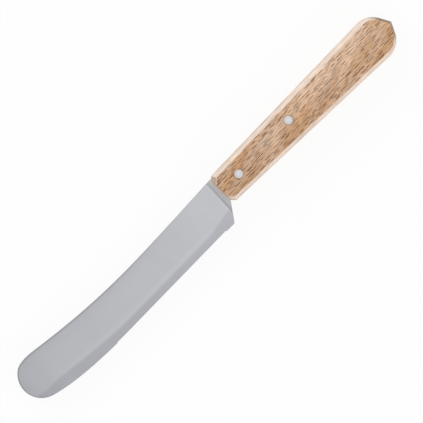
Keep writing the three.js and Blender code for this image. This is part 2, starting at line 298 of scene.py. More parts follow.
def loft_faces(ring_count, ring_size):
    """Faces of a closed skin over rings of equal size, with a flat cap at each end."""
    last = (ring_count - 1) * ring_size
    faces = []
    for ring in range(0, last, ring_size):
        for here in range(ring_size):
            beside = (here + 1) % ring_size
            faces.append((ring + here, ring + beside, ring + beside + ring_size, ring + here + ring_size))
    return [*faces, range(ring_size)[::-1], range(last, last + ring_size)]


def new_loft(name, rings):
    rings = np.asarray(rings)
    piece = new_piece(name, rings.reshape(-1, 3), loft_faces(*rings.shape[:2]))
    face_outwards(piece)
    return piece


def ring_at(outline, height):
    return np.column_stack((outline, np.full(len(outline), height)))


def circle(place, radius):
    return arc(point(*place), radius, 0, 2 * math.pi, BORE_SEGMENTS)[:-1]


def turned_solid(name, place, profile):
    """A solid turned about an axis through the handle; the profile gives radius and height."""
    return new_loft(name, [ring_at(circle(place, radius), height) for radius, height in profile])


def face_outwards(piece):
    shell = bmesh.new()
    shell.from_mesh(piece.data)
    bmesh.ops.recalc_face_normals(shell, faces=shell.faces)
    shell.to_mesh(piece.data)
    shell.free()


def cut_away(piece, cutters):
    for cutter in cutters:
        cut = piece.modifiers.new(cutter.name, "BOOLEAN")
        cut.operation = "DIFFERENCE"
        cut.solver = "EXACT"
        cut.object = cutter


def settle(piece, cutters=()):
    """Turn a piece and its modifiers into one plain mesh with smooth faces and crisp edges."""
    depsgraph = bpy.context.evaluated_depsgraph_get()
    shaped = piece.evaluated_get(depsgraph)
    mesh = bpy.data.meshes.new_from_object(shaped, preserve_all_data_layers=True, depsgraph=depsgraph)
    piece.modifiers.clear()
    piece.data = mesh
    mesh.name = piece.name
    for cutter in cutters:
        bpy.data.objects.remove(cutter)
    mesh.polygons.foreach_set("use_smooth", np.ones(len(mesh.polygons), bool))
    mesh.set_sharp_from_angle(angle=CREASE_ANGLE)


# Nodes

MIX_SHARE = 0
MIX_FIRST = 6
MIX_SECOND = 7
MIX_RESULT = 2
SOFT_DETAIL = 2
FINE_DETAIL = 3
NOISE_MIDDLE = 0.5


class Wire:
    """A node's output that can stand in a sum: each operator adds a Math node to the same tree."""

    def __init__(self, bench, socket):
        self.bench = bench
        self.socket = socket

    def __add__(self, other):
        return self.bench.math("ADD", self, other)

    def __radd__(self, other):
        return self.bench.math("ADD", other, self)

    def __sub__(self, other):
        return self.bench.math("SUBTRACT", self, other)

    def __rsub__(self, other):
        return self.bench.math("SUBTRACT", other, self)

    def __mul__(self, other):
        return self.bench.math("MULTIPLY", self, other)

    def __rmul__(self, other):
        return self.bench.math("MULTIPLY", other, self)

    def __truediv__(self, other):
        return self.bench.math("DIVIDE", self, other)

    def __gt__(self, other):
        return self.bench.math("GREATER_THAN", self, other)

    def __lt__(self, other):
        return self.bench.math("LESS_THAN", self, other)

    def __abs__(self):
        return self.bench.math("ABSOLUTE", self)

    def ramp(self, start, end, rise="SMOOTHSTEP"):
        """0 before start and 1 after end; an end below the start turns it round."""
        sockets = {"Value": self, "From Min": start, "From Max": end}
        return self.bench.node("ShaderNodeMapRange", {"interpolation_type": rise}, sockets, "Result")

    def also(self, name):
        """Another output of the same node."""
        return Wire(self.bench, self.socket.node.outputs[name])


class Bench:
    """Makes the nodes of one tree."""

    def __init__(self, tree):
        self.tree = tree
        self.tree.nodes.clear()

    def node(self, kind, settings=None, sockets=None, out=0):
        """A node of one kind, with its settings first and then the values or links of its sockets."""
        node = self.tree.nodes.new(kind)
        for name, value in (settings or {}).items():
            setattr(node, name, value)
        for key, value in (sockets or {}).items():
            if isinstance(value, Wire):
                self.tree.links.new(value.socket, node.inputs[key])
            else:
                node.inputs[key].default_value = value
        return Wire(self, node.outputs[out]) if node.outputs else node

    def math(self, operation, *values):
        return self.node("ShaderNodeMath", {"operation": operation}, dict(enumerate(values)))

    def largest(self, values):
        most = values[0]
        for value in values[1:]:
            most = self.math("MAXIMUM", most, value)
        return most

    def apart(self, vector):
        split = self.node("ShaderNodeSeparateXYZ", None, {0: vector})
        return split, split.also("Y"), split.also("Z")

    def together(self, x, y, z):
        return self.node("ShaderNodeCombineXYZ", None, {0: x, 1: y, 2: z})

    def mix(self, way, share, first, second):
        sockets = {MIX_SHARE: share, MIX_FIRST: first, MIX_SECOND: second}
        return self.node("ShaderNodeMix", {"data_type": "RGBA", "blend_type": way}, sockets, MIX_RESULT)

    def blend(self, share, first, second):
        return self.mix("MIX", share, first, second)

    def shade(self, share, colour, other):
        return self.mix("MULTIPLY", share, colour, other)

    def toned(self, colour, tone):
        """The colour made lighter or darker, where a tone of 1 leaves it as it is."""
        return self.shade(1.0, colour, self.together(tone, tone, tone))

    def cloud(self, place, size, detail=SOFT_DETAIL):
        """Soft noise from 0 to 1 whose lumps have this size along x, y and z."""
        scaled = self.node("ShaderNodeVectorMath", {"operation": "DIVIDE"}, {0: place, 1: size})
        return self.node("ShaderNodeTexNoise", None, {"Vector": scaled, "Scale": 1.0, "Detail": detail})

    def draw(self, x, y, z=0.0):
        """Three random numbers from 0 to 1 for each whole x, y and z."""
        numbers = self.node("ShaderNodeTexWhiteNoise", None, {"Vector": self.together(x, y, z)}, "Color")
        return self.apart(numbers)

    def bump(self, height, depth):
        return self.node("ShaderNodeBump", None, {"Height": height, "Distance": depth * MM})


def new_recipe(name, sizes):
    """A geometry tree with named sizes. Returns its bench, its incoming geometry and its sizes."""
    tree = bpy.data.node_groups.new(name, "GeometryNodeTree")
    tree.interface.new_socket("Geometry", in_out="INPUT", socket_type="NodeSocketGeometry")
    for size in sizes:
        tree.interface.new_socket(size, in_out="INPUT", socket_type="NodeSocketFloat")
    tree.interface.new_socket("Geometry", in_out="OUTPUT", socket_type="NodeSocketGeometry")
    bench = Bench(tree)
    incoming = bench.node("NodeGroupInput")
    return bench, incoming, {size: incoming.also(size) for size in sizes}


def close_recipe(bench, geometry, material):
    whole = bench.node("GeometryNodeRealizeInstances", None, {0: geometry})
    coated = bench.node("GeometryNodeSetMaterial", None, {"Geometry": whole, "Material": material})
    bench.node("NodeGroupOutput", None, {0: coated})
    return bench.tree


def follow_recipe(piece, recipe, sizes):
    step = piece.modifiers.new(recipe.name, "NODES")
    step.node_group = recipe
    for item in recipe.interface.items_tree:
        if item.in_out == "INPUT" and item.name in sizes:
            step[item.identifier] = sizes[item.name]


# Materials

def new_material(name):
    material = bpy.data.materials.new(name)
    material.use_nodes = True
    return material, Bench(material.node_tree)


def close_material(bench, sockets):
    surface = bench.node("ShaderNodeBsdfPrincipled", None, sockets)
    bench.node("ShaderNodeOutputMaterial", None, {"Surface": surface})


def drawing_place(bench):
    """Where a spot of the piece is on the drawing, in millimetres."""
    spot = bench.node("ShaderNodeTexCoord", None, None, "Object")
    sockets = {"Vector": spot, "Location": tuple(-HOME / MM), "Scale": (1 / MM,) * 3}
    return bench.node("ShaderNodeMapping", {"vector_type": "POINT"}, sockets)


def attribute(bench, name):
    return bench.node("ShaderNodeAttribute", {"attribute_name": name}, None, "Fac")


# Steel

STEEL_FACE = (0.595, 0.602, 0.637, 1)
# Painted highlight colour of the steel
STEEL_PAINTED_HIGHLIGHT = (0.662, 0.668, 0.696, 1)
STEEL_BAND = (0.536, 0.537, 0.584, 1)
STEEL_MILL_SKIN = (0.578, 0.582, 0.60, 1)
# Painted shade colour of the steel, for the rim, spine, tip and plunge
STEEL_PAINTED_SHADE = (0.07, 0.07, 0.075, 1)
# Painted reflection colour: the beech seen in the steel by the handle
STEEL_WOOD_REFLECTION = (0.98, 0.79, 0.625, 1)
GRIND_LINE_SIZE = (0.07, 9, 3)
GRIND_DRIFT_SIZE = (5, 14, 3)
SMUDGE_SIZE = (22, 12, 6)
STEEL_TONE = 0.9
LINE_TONE = 0.08
DRIFT_TONE = 0.06
SMUDGE_TONE = 0.06
STEEL_ROUGH = 0.3
LINE_ROUGH = 0.06
SMUDGE_ROUGH = 0.05
BAND_ROUGH = 0.05
SKIN_ROUGH = 0.05
RIM_ROUGH = 0.1
LINE_DEPTH = 0.0004


def ground_steel():
    """Satin stainless steel with grind lines across the blade, a duller edge band, painted highlights,
    painted shade along the stamped rim and a painted reflection of the wood by the handle.
    """
    material, bench = new_material("ground_steel")
    place = drawing_place(bench)
    lines = bench.cloud(place, GRIND_LINE_SIZE, FINE_DETAIL)
    drift = bench.cloud(place, GRIND_DRIFT_SIZE)
    smudge = bench.cloud(place, SMUDGE_SIZE)
    band = attribute(bench, "edge_band")
    skin = attribute(bench, "mill_skin")
    rim = attribute(bench, "painted_rim_shade")
    # Painted highlight: lighter steel above the band, beside the plunge and near the handle
    face = bench.blend(attribute(bench, "painted_highlight"), STEEL_FACE, STEEL_PAINTED_HIGHLIGHT)
    face = bench.blend(band, face, STEEL_BAND)
    face = bench.blend(skin, face, STEEL_MILL_SKIN)
    # Painted shade: darker steel along the rim, the spine, the tip and the plunge
    face = bench.blend(rim, face, STEEL_PAINTED_SHADE)
    # Painted reflection of the wood, warm and lighter just before the handle
    face = bench.blend(attribute(bench, "painted_wood_reflection"), face, STEEL_WOOD_REFLECTION)
    tone = STEEL_TONE + LINE_TONE * lines + DRIFT_TONE * drift + SMUDGE_TONE * smudge
    rough = STEEL_ROUGH + LINE_ROUGH * lines + SMUDGE_ROUGH * smudge
    rough = rough + BAND_ROUGH * band + SKIN_ROUGH * skin + RIM_ROUGH * rim
    close_material(bench, {
        "Base Color": bench.toned(face, tone),
        "Metallic": 1.0,
        "Roughness": rough,
        "Normal": bench.bump(lines, LINE_DEPTH),
    })
    return material


# Aluminium

# Painted reflections: the bluish tint stands for the sky seen in the heads, the warmer grey at their rims for
# the surroundings
ALUMINIUM = (0.765, 0.81, 0.90, 1)
ALUMINIUM_RIM_REFLECTION = (0.765, 0.705, 0.68, 1)
RIM_REFLECTION_FROM_MIDDLE = (0.1, 0.7)
SCRATCH_SIZE = (1.6, 0.05, 1)
HAMMER_MARK_SIZE = (0.7, 0.7, 0.7)
ALUMINIUM_ROUGH = 0.26
SCRATCH_ROUGH = 0.14
MARK_ROUGH = 0.06
SCRATCH_RELIEF = 0.3
MARK_DEPTH = 0.008


def sanded_aluminium():
    """Aluminium swaged and sanded flush: fine scratches along the handle, shallow marks, and painted
    reflections: bluish in the middle of the heads and warmer grey at their rims.
    """
    material, bench = new_material("sanded_aluminium")
    place = drawing_place(bench)
    scratch = bench.cloud(place, SCRATCH_SIZE, FINE_DETAIL)
    mark = bench.cloud(place, HAMMER_MARK_SIZE)
    # Painted reflection: warmer grey towards each head's rim
    rim_reflection = attribute(bench, "head_rim").ramp(*RIM_REFLECTION_FROM_MIDDLE)
    close_material(bench, {
        "Base Color": bench.blend(rim_reflection, ALUMINIUM, ALUMINIUM_RIM_REFLECTION),
        "Metallic": 1.0,
        "Roughness": ALUMINIUM_ROUGH + SCRATCH_ROUGH * scratch + MARK_ROUGH * mark,
        "Normal": bench.bump(SCRATCH_RELIEF * scratch + mark, MARK_DEPTH),
    })
    return material


# Beech: grain, tones and varnish

BEECH_TAN = (0.66, 0.384, 0.21, 1)
BEECH_GREY = (0.605, 0.427, 0.305, 1)
BEECH_PALE = (0.762, 0.535, 0.378, 1)
BEECH_BROWN = (0.476, 0.266, 0.137, 1)
# End grain, darkened further by painted shade
BEECH_END_GRAIN_AND_SHADE = (0.19, 0.13, 0.085, 1)
GRAIN_SWAY_SIZE = (70, 30, 30)
GRAIN_SWAY = 1.2
FIBRE_SIZE = (11, 0.22, 0.5)
STREAK_SIZE = (8, 0.25, 1.8)
STREAK_CONTRAST = (0.3, 0.7)
WOOD_TONE = 0.76
FIBRE_TONE = 0.2
STREAK_TONE = 0.38
# Painted shade: a darker ring in the wood around each rivet head
RIVET_RING_SHADE = (0.75, 0.80, 0.88, 1)
RIVET_RING_SHADE_REACH = (2.7, 2.0)
WOOD_ROUGH = 0.42
FIBRE_ROUGH = 0.16
RAY_ROUGH = 0.1
WOOD_SPECULAR = 0.25
VARNISH_WEIGHT = 0.15
VARNISH_ROUGH = 0.2
FIBRE_RELIEF = 0.5
GRAIN_DEPTH = 0.02


def beech_wood():
    """Steamed beech under thin varnish: short dark rays along the grain, paler wood where it is rounded."""
    material, bench = new_material("beech_wood")
    place = drawing_place(bench)
    x, y, z = bench.apart(place)
    sway = (bench.cloud(place, GRAIN_SWAY_SIZE) - NOISE_MIDDLE) * GRAIN_SWAY
    grain = bench.together(x, y + sway, z)
    fibre = bench.cloud(grain, FIBRE_SIZE, FINE_DETAIL)
    streak = bench.cloud(grain, STREAK_SIZE)
    flat = (abs(z) - abs(streak - NOISE_MIDDLE) * BORDER_WOBBLE).ramp(*FLAT_BORDER)
    wood = beech_figure(bench, place, x, y)
    wood = rounded_wood(bench, wood, flat, abs(z), grain)
    wood = butt_wood(bench, wood, flat, x, y)
    wood = bench.toned(wood, WOOD_TONE + FIBRE_TONE * fibre + STREAK_TONE * streak.ramp(*STREAK_CONTRAST))
    # Painted shade around the rivets, where the wood meets the heads
    wood = bench.shade(from_rivets(bench, x, y).ramp(*RIVET_RING_SHADE_REACH), wood, RIVET_RING_SHADE)
    halo, core = beech_rays(bench, x + RAY_LEAN_ALONG * z, y + RAY_SWAY * sway + RAY_LEAN_ACROSS * z)
    dark = core * flat
    dash = bench.cloud(grain, DASH_SIZE, DASH_DETAIL).ramp(*DASH_CONTRAST)
    wood = bench.blend(DASH_SHARE * dash * flat, wood, RAY_HALO)
    wood = bench.blend(HALO_SHARE * halo * flat, wood, RAY_HALO)
    wood = bench.blend(CORE_SHARE * dark, wood, RAY_BROWN)
    close_material(bench, {
        "Base Color": wood,
        "Roughness": WOOD_ROUGH + FIBRE_ROUGH * fibre + RAY_ROUGH * dark,
        "Specular IOR Level": WOOD_SPECULAR,
        "Coat Weight": VARNISH_WEIGHT,
        "Coat Roughness": VARNISH_ROUGH,
        "Normal": bench.bump(FIBRE_RELIEF * fibre - dark, GRAIN_DEPTH),
    })
    return material


def from_rivets(bench, x, y):
    """Distance to the nearer rivet's axis."""
    first, second = [(x - px) * (x - px) + (y - py) * (y - py) for px, py in RIVET_PLACES]
    return bench.math("SQRT", bench.math("MINIMUM", first, second))


# Beech: the figure of the board

FIGURE_TURN = math.radians(-20)
FIGURE_SHIFT = (407, 253, 121)
ZONE_SIZE = (22, 2.8, 8)
ZONE_CONTRAST = (0.38, 0.62)
RING_SIZE = (34, 4.2, 10)
RING_SHARE = 0.7
PALE_RING = (0.48, 0.7)
BROWN_RING = (0.5, 0.3)
PALER_SPINE_SHARE = 0.8
PALER_SPINE_ACROSS = (-11, -3)
PALER_SPINE_ALONG = (10, 75)
BROWNER_BELLY_SHARE = 0.35
BROWNER_BELLY_ACROSS = (-7, -15)
BROWNER_FRONT_ACROSS = (-4, -9)
BROWNER_FRONT_ALONG = (30, 8)


def beech_figure(bench, place, x, y):
    """Slanting zones of tan and greyish wood, paler along the spine and browner along the belly."""
    turn = {"Vector": place, "Rotation": (0, 0, FIGURE_TURN), "Location": FIGURE_SHIFT}
    figure = bench.node("ShaderNodeMapping", {"vector_type": "POINT"}, turn)
    zone = bench.cloud(figure, ZONE_SIZE)
    ring = bench.cloud(figure, RING_SIZE)
    paler_spine = PALER_SPINE_SHARE * y.ramp(*PALER_SPINE_ACROSS) * x.ramp(*PALER_SPINE_ALONG)
    at_front = y.ramp(*BROWNER_FRONT_ACROSS) * x.ramp(*BROWNER_FRONT_ALONG)
    browner_belly = BROWNER_BELLY_SHARE * (y.ramp(*BROWNER_BELLY_ACROSS) + at_front)
    wood = bench.blend(zone.ramp(*ZONE_CONTRAST), BEECH_TAN, BEECH_GREY)
    wood = bench.blend(RING_SHARE * ring.ramp(*PALE_RING) + paler_spine, wood, BEECH_PALE)
    return bench.blend(RING_SHARE * ring.ramp(*BROWN_RING) + browner_belly, wood, BEECH_BROWN)


# Beech: the rounded borders. Facings are shares of a surface's tilt: 1 butt or spine, -1 front or belly

# Sanded wood of the rounded border, lightened by a painted highlight
BEECH_SANDED_AND_SHEEN = (0.79, 0.677, 0.592, 1)
# Painted shade down the walls, darker on the spine side
BEECH_BELLY_WALL_SHADE = (0.72, 0.645, 0.57, 1)
BEECH_SPINE_WALL_SHADE = (0.58, 0.535, 0.48, 1)
# Painted shade on the spine-side front chamfer
BEECH_CHAMFER_SHADE = (0.45, 0.34, 0.26, 1)
FLAT_BORDER = (4.95, 5.245)
BORDER_WOBBLE = 0.25
BORDER_STAIN_SIZE = (6, 1.1, 2.5)
BORDER_STAIN_CONTRAST = (0.42, 0.7)
BORDER_STAIN_SHARE = 0.4
OUTER_BORDER = (4.3, 2.8)
WALL_MIDDLE = (3.7, 1.6)
WALL_PALE_SHARE = 0.4
WALL_FACING = (-0.3, 0.3)
BUTT_FACING = (0.68, 0.86)
BUTT_SHOULDER_FACING = (-0.4, 0.4)
# How strongly end grain and painted shade darken the butt's rounding on the belly and the spine side
BELLY_END_GRAIN_SHADE = 0.7
SPINE_END_GRAIN_SHADE = 1.0
FRONT_FACING = (-0.75, -0.95)
CHAMFER_FRONT_FACING = (-0.4, -0.65)
CHAMFER_SPINE_FACING = (0.2, 0.5)
BELOW_CHAMFER_EDGE = (5.05, 4.8)
TILTED = (0.1, 0.4)
ROUNDED_SHARE = 0.85


def rounded_wood(bench, wood, flat, height, grain):
    """Paler wood where the handle is rounded, sanded and with a painted highlight; painted shade greys its
    sides, darkens the spine-side front chamfer and, with the end grain, the butt.
    """
    normal = bench.node("ShaderNodeNewGeometry", None, None, "Normal")
    along, across, _ = bench.apart(normal)
    sideways = bench.math("SQRT", along * along + across * across)
    lengthways = along / sideways
    spinewards = across / sideways
    end_grain_shade = between(BELLY_END_GRAIN_SHADE, SPINE_END_GRAIN_SHADE, spinewards.ramp(*BUTT_SHOULDER_FACING))
    chamfer = lengthways.ramp(*CHAMFER_FRONT_FACING) * spinewards.ramp(*CHAMFER_SPINE_FACING)
    stain = bench.cloud(grain, BORDER_STAIN_SIZE).ramp(*BORDER_STAIN_CONTRAST)
    # Painted shade down the sides, darker on the spine side
    wall = bench.blend(spinewards.ramp(*WALL_FACING), BEECH_BELLY_WALL_SHADE, BEECH_SPINE_WALL_SHADE)
    middle = bench.blend(WALL_PALE_SHARE, wood, BEECH_PALE)
    # Sanded border with a painted highlight, turning to the shaded wall at the outside
    edge = bench.blend(height.ramp(*OUTER_BORDER), BEECH_SANDED_AND_SHEEN, wall)
    edge = bench.blend(BORDER_STAIN_SHARE * stain, edge, BEECH_GREY)
    edge = bench.blend(height.ramp(*WALL_MIDDLE), edge, middle)
    # End grain with painted shade on the butt's rounding
    edge = bench.blend(lengthways.ramp(*BUTT_FACING) * end_grain_shade, edge, BEECH_END_GRAIN_AND_SHADE)
    # Painted shade on the spine-side front chamfer
    edge = bench.blend(chamfer * height.ramp(*BELOW_CHAMFER_EDGE), edge, BEECH_CHAMFER_SHADE)
    edge = bench.blend(lengthways.ramp(*FRONT_FACING), edge, wood)
    return bench.blend((1 - flat) * sideways.ramp(*TILTED) * ROUNDED_SHARE, wood, edge)


# Beech: the flats near the butt. Depths are measured from the butt's two straight sides

BEECH_BUTT_SPINE = (0.71, 0.45, 0.27, 1)
BEECH_BUTT_BELLY = (0.55, 0.305, 0.145, 1)
BUTT_SPINE_TO_BELLY = (-8.5, -11.5)
BUTT_WARM_SHARE = 0.8
BUTT_WARM_DEPTH = (7, 2.5)
PALE_LINE_SHARE = 0.3
PALE_LINE_OUTER = (1.3, 1.6)
PALE_LINE_INNER = (2.3, 1.8)
# Painted shade with the end grain's colour along the butt's edge, stronger towards the spine
BUTT_EDGE_SHADE_AT_BELLY = 0.34
BUTT_EDGE_SHADE_AT_SPINE = 0.58
BUTT_EDGE_SHADE_BELLY_TO_SPINE = (-13, -7)
BUTT_EDGE_SHADE_DEPTH = (1.8, 0.7)


def butt_wood(bench, wood, flat, x, y):
    """Painted shade and end grain darken the flats at the butt's edge, more towards the spine; a paler line
    lies inside it, then warm wood.
    """
    from_sides = abs(y + HANDLE_BUTT_WIDTH / 2) * math.cos(BUTT_HALF_ANGLE)
    depth = (HANDLE_LENGTH - x) * math.sin(BUTT_HALF_ANGLE) - from_sides
    warm = bench.blend(y.ramp(*BUTT_SPINE_TO_BELLY), BEECH_BUTT_SPINE, BEECH_BUTT_BELLY)
    pale_line = PALE_LINE_SHARE * depth.ramp(*PALE_LINE_OUTER) * depth.ramp(*PALE_LINE_INNER)
    butt_edge_shade = between(BUTT_EDGE_SHADE_AT_BELLY, BUTT_EDGE_SHADE_AT_SPINE, y.ramp(*BUTT_EDGE_SHADE_BELLY_TO_SPINE))
    wood = bench.blend(BUTT_WARM_SHARE * flat * depth.ramp(*BUTT_WARM_DEPTH), wood, warm)
    wood = bench.blend(pale_line, wood, BEECH_PALE)
    # Painted shade at the butt's edge
    return bench.blend(butt_edge_shade * depth.ramp(*BUTT_EDGE_SHADE_DEPTH), wood, BEECH_END_GRAIN_AND_SHADE)


# Beech: the rays. Shares are of the spacing along the grain or of the row's height across it

RAY_BROWN = (0.06, 0.012, 0.0, 1)
RAY_HALO = (0.38, 0.19, 0.085, 1)
RAYS = (
    {"spacing": 5.3, "row_height": 1.21, "half_thick": 0.135, "least_chance": 0.0},
    {"spacing": 4.6, "row_height": 0.97, "half_thick": 0.11, "least_chance": 0.1},
    {"spacing": 4.1, "row_height": 1.57, "half_thick": 0.135, "least_chance": 0.3},
)
SURE_CHANCE = 0.95
CELL_MIDDLE = 0.5
ROW_STEP = 0.5
ROW_SCATTER = 0.6
END_SCATTER = 0.5
SIDE_SCATTER = 0.6
LEAST_REACH = 0.2
MORE_REACH = 0.25
HALO_EDGE = (1.6, 0.9)
CORE_EDGE = (1.0, 0.7)
RAY_LEAN_ALONG = 0.35
RAY_LEAN_ACROSS = 0.12
RAY_SWAY = 0.5
HALO_SHARE = 0.1
CORE_SHARE = 0.9
DASH_SIZE = (3.2, 0.2, 1.2)
DASH_DETAIL = 1
DASH_CONTRAST = (0.54, 0.72)
DASH_SHARE = 0.85


def beech_rays(bench, x, y):
    """Rays of three sizes, which go through the wood from face to face: brown halos and dark cores."""
    halos, cores = zip(*(ray_flecks(bench, x, y, **ray) for ray in RAYS))
    return bench.largest(halos), bench.largest(cores)


def ray_flecks(bench, x, y, spacing, row_height, half_thick, least_chance):
    """Blunt rays in rows along the grain, each of random place, length and strength."""
    across = y / row_height
    row = bench.math("FLOOR", across)
    row_start, _, _ = bench.draw(row, spacing)
    along = x / spacing + ROW_STEP * row + ROW_SCATTER * row_start
    column = bench.math("FLOOR", along)
    to_side, to_end, chance = bench.draw(column, row, spacing)
    longer, _, _ = bench.draw(row, column, spacing)
    from_end = along - column - CELL_MIDDLE - END_SCATTER * (to_end - CELL_MIDDLE)
    from_side = across - row - CELL_MIDDLE - SIDE_SCATTER * (to_side - CELL_MIDDLE)
    ahead = from_end / (LEAST_REACH + MORE_REACH * longer)
    aside = from_side * (row_height / half_thick)
    blunt = ahead * ahead
    outwards = blunt * blunt + aside * aside
    strength = chance.ramp(least_chance, SURE_CHANCE, "LINEAR")
    return outwards.ramp(*HALO_EDGE) * strength, outwards.ramp(*CORE_EDGE) * strength


# Lines of the blade

TIP_CENTRE = point(TIP_RADIUS - BLADE_REACH, CREST_RISE + TIP_FLATTENING - TIP_RADIUS)
STRAIGHT_EDGE = point(STRAIGHT_EDGE_FROM_TIP - BLADE_REACH, -STRAIGHT_EDGE_DROP)
HEEL = point(-HEEL_FROM_HANDLE, -HEEL_DROP)
BELLY_BUTT = point(HANDLE_LENGTH - BUTT_SET_BACK, -HANDLE_BUTT_WIDTH)


def belly_at(x):
    """Height of the handle's straight belly."""
    return np.interp(x, (0, BELLY_BUTT[0]), (-HANDLE_FRONT_WIDTH, -HANDLE_BUTT_WIDTH))


def on_tip_arc(angle):
    return TIP_CENTRE + TIP_RADIUS * point(math.cos(angle), math.sin(angle))


def spine_line():
    crest = point(CREST_FROM_TIP - BLADE_REACH, CREST_RISE)
    waist = point(-WAIST_FROM_HANDLE, -WAIST_DROP)
    front = point(0, -TANG_SPINE_RECESS)
    corner = point(TANG_END, -TANG_SPINE_RECESS)
    leave = on_tip_arc(TIP_ARC_TO_SPINE)
    shoulder = point(leave[0] - (crest[1] - leave[1]) * math.tan(TIP_ARC_TO_SPINE), crest[1])
    span = point(waist[0] - crest[0], 0)
    before = corner - point(TANG_CORNER_RADIUS, 0)
    below = corner - point(0, TANG_CORNER_RADIUS)
    return joined(
        arc(TIP_CENTRE, TIP_RADIUS, math.pi, TIP_ARC_TO_SPINE),
        quadratic(leave, shoulder, crest),
        cubic(crest, crest + CREST_FULLNESS * span, waist - WAIST_FULLNESS * span, waist),
        quadratic(waist, waist + point(WAIST_REACH_BACK, 0), front),
        quadratic(before, corner, below),
    )


def cutting_line():
    """The keen edge, drawn on in a straight line past the heel."""
    leave = on_tip_arc(TIP_ARC_TO_EDGE)
    heading = point(-math.sin(TIP_ARC_TO_EDGE), math.cos(TIP_ARC_TO_EDGE))
    past_heel = HEEL + unit(HEEL - STRAIGHT_EDGE) * HEEL_FROM_HANDLE
    return joined(
        arc(TIP_CENTRE, TIP_RADIUS, math.pi, TIP_ARC_TO_EDGE),
        quadratic(leave, leave + BELLY_FULLNESS * heading, STRAIGHT_EDGE),
        [STRAIGHT_EDGE, past_heel],
    )


def heel_line():
    """The stamped lower rim from the heel back to the end of the tang."""
    front = point(0, belly_at(0) + TANG_BELLY_RECESS)
    corner = point(TANG_END, belly_at(TANG_END) + TANG_BELLY_RECESS)
    start = HEEL + HEEL_ROUNDING * unit(STRAIGHT_EDGE - HEEL)
    end = HEEL + HEEL_ROUNDING * unit(front - HEEL)
    before = corner + TANG_CORNER_RADIUS * unit(front - corner)
    above = corner + point(0, TANG_CORNER_RADIUS)
    return joined(
        quadratic(start, HEEL, end),
        [end, front],
        quadratic(before, corner, above),
    )


def lower_line(cutting, heel):
    return np.vstack((cutting[cutting[:, 0] < heel[0, 0]], heel))


# Blade: where its sections and their rows are taken

NOSE_NEAR = (0.3, 12, 10)
NOSE_FAR = (14, 90, 40)
BELLY_STATIONS = 64
STATIONS_PER_TOOTH = 6
HEEL_ZONE = (-7.1, -1.8)
BEFORE_HEEL_STATIONS = 16
HEEL_STATIONS = 68
RICASSO_STATIONS = 8
TANG_STATIONS = 27
TANG_CORNER_STATIONS = 13
LEAST_STATION_STEP = 0.001
RIM_ROWS = np.array((0, 0.015, 0.05, 0.1, 0.15, 0.2, 0.28, 0.4))
RIM_ROWS_SHARE = 0.25
BAND_ROWS_REACH = 6.2
BAND_ROW_COUNT = 20
BAND_ROW_CROWDING = 1.35
BAND_ROWS = BAND_ROWS_REACH * np.linspace(0, 1, BAND_ROW_COUNT) ** BAND_ROW_CROWDING
BAND_ROWS_SHARE = 0.5
FACE_ROW_COUNT = 16
FACE_ROWS = np.linspace(0, 1, FACE_ROW_COUNT + 2)[1:-1]


def blade_stations():
    """Places along the blade, close together at the nose, the teeth, the heel and the plunge."""
    nose_angles = np.radians(np.concatenate((np.linspace(*NOSE_NEAR), np.linspace(*NOSE_FAR))))
    before_corner = TANG_END - TANG_CORNER_RADIUS
    every = np.unique(np.concatenate((
        TIP_CENTRE[0] - TIP_RADIUS * np.cos(nose_angles),
        np.linspace(TIP_CENTRE[0], SERRATION_START, BELLY_STATIONS),
        np.linspace(SERRATION_START, -SERRATION_FROM_HANDLE, TOOTH_COUNT * STATIONS_PER_TOOTH + 1),
        np.linspace(-SERRATION_FROM_HANDLE, HEEL_ZONE[0], BEFORE_HEEL_STATIONS),
        np.linspace(*HEEL_ZONE, HEEL_STATIONS),
        np.linspace(HEEL_ZONE[1], 0, RICASSO_STATIONS),
        np.linspace(0, before_corner, TANG_STATIONS),
        TANG_END - TANG_CORNER_RADIUS * np.linspace(1, 0, TANG_CORNER_STATIONS) ** 2,
    )))
    return every[np.append(True, np.diff(every) > LEAST_STATION_STEP)]


def section_heights(x, spine, lower):
    """Heights of each section's rows, from the spine down to the edge."""
    top = height_at(spine, x)
    bottom = height_at(lower, x)
    tall = (top - bottom)[:, None]
    lean = np.hypot(1, slope_at(spine, x))[:, None]
    down = np.minimum(RIM_ROWS * lean, RIM_ROWS / RIM_ROWS[-1] * RIM_ROWS_SHARE * tall)
    up = np.minimum(BAND_ROWS, BAND_ROWS / BAND_ROWS[-1] * BAND_ROWS_SHARE * tall)
    face_top = top[:, None] - down[:, -1:]
    face_bottom = bottom[:, None] + up[:, -1:]
    face = between(face_top, face_bottom, FACE_ROWS)
    return np.hstack((top[:, None] - down, face, (bottom[:, None] + up)[:, ::-1]))


# Blade

class BladeFace:
    """Where each place of a blade face is, measured from the blade's own lines."""

    def __init__(self):
        spine = spine_line()
        cutting = cutting_line()
        heel = heel_line()
        stations = blade_stations()
        self.y = section_heights(stations, spine, lower_line(cutting, heel))
        self.x = np.broadcast_to(stations[:, None], self.y.shape)
        places = np.stack((self.x, self.y), axis=-1)
        self.from_edge = distance_to(cutting, places)
        self.from_rim = np.minimum(distance_to(spine, places), distance_to(heel, places))
        self.near_nose = fading(self.x + BLADE_REACH, TIP_RADIUS)
        self.past_plunge = self.x - PLUNGE_TOP[0] - PLUNGE_SLANT * (self.y - PLUNGE_TOP[1])
        self.unground = soft_step(self.past_plunge, *PLUNGE_RAMP)
        self.band_width = band_width_at(self.x)


def band_width_at(x):
    """Width of the thinner band along the edge: wider at belly and heel, running out at the tip."""
    at_belly = BAND_WIDENING * soft_step(x, *BAND_WIDENS)
    at_heel = BAND_HEEL_WIDENING * soft_step(x, *BAND_HEEL_WIDENS)
    taper = np.clip((x - BAND_ENDS_AT) / BAND_TAPER_LENGTH, 0, 1)
    return (BAND_WIDTH + at_belly + at_heel) * (1 - (1 - taper) ** BAND_TAPER_POWER)


